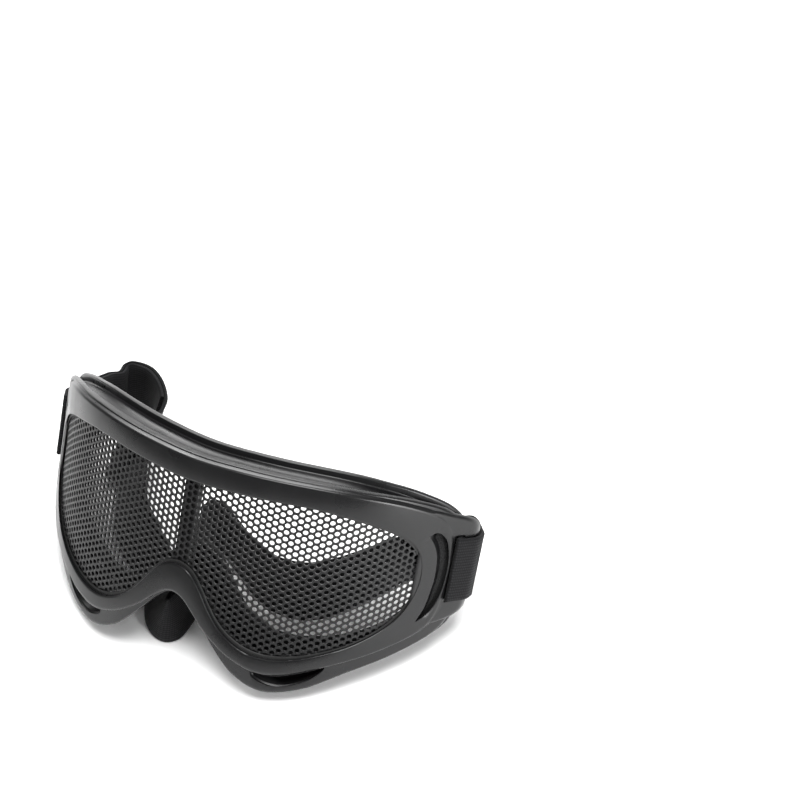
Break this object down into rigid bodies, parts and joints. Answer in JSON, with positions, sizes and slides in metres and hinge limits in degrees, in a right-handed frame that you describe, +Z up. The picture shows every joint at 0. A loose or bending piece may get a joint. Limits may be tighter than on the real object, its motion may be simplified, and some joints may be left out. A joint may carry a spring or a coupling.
{
  "type": "mesh safety goggles",
  "caption": "Black safety goggles with a curved perforated mesh lens, a vented wrap-round frame with strap lugs, face foam and a folded elastic head strap with a sliding adjuster.",
  "frame": {"origin": "middle of the model's bounding box, on the floor that the goggles lie on", "axes": "+X to the viewer's right across the lens, +Y back towards the wearer's face and the strap, +Z up"},
  "size_m": [0.1858, 0.1076, 0.0822],
  "materials": {
    "frame_plastic": "black moulded plastic, satin gloss",
    "mesh_metal": "black powder-coated perforated sheet",
    "trim_rubber": "black matt edge trim",
    "foam": "black open-cell foam",
    "webbing": "black ribbed elastic webbing",
    "slide_plastic": "black moulded plastic",
    "thread": "black sewing thread"
  },
  "bodies": {
    "goggles": {"goggle_frame": "frame_plastic", "mesh_lens": "mesh_metal", "lens_edge_trim": "trim_rubber", "lens_centre_bar": "trim_rubber", "face_foam": "foam", "vent_foam_side_left": "foam", "vent_foam_side_right": "foam", "vent_foam_lower_left": "foam", "vent_foam_lower_right": "foam", "strap_loop_left": "webbing", "strap_fold_outer": "webbing", "strap_fold_inner": "webbing", "strap_run_left": "webbing", "strap_bight": "webbing", "strap_run_right": "webbing", "strap_end_right": "webbing", "strap_loop_right": "webbing", "strap_stitching_right": "thread"},
    "adjuster": {"strap_slide": "slide_plastic", "strap_slide_tab": "webbing", "strap_stitching_slide": "thread"}
  },
  "joints": [
    {"name": "slide_adjust", "type": "slide", "parent": "goggles", "child": "adjuster", "axis": [0.4859, -0.874, 0], "range_m": [0, 0.008]}
  ]
}
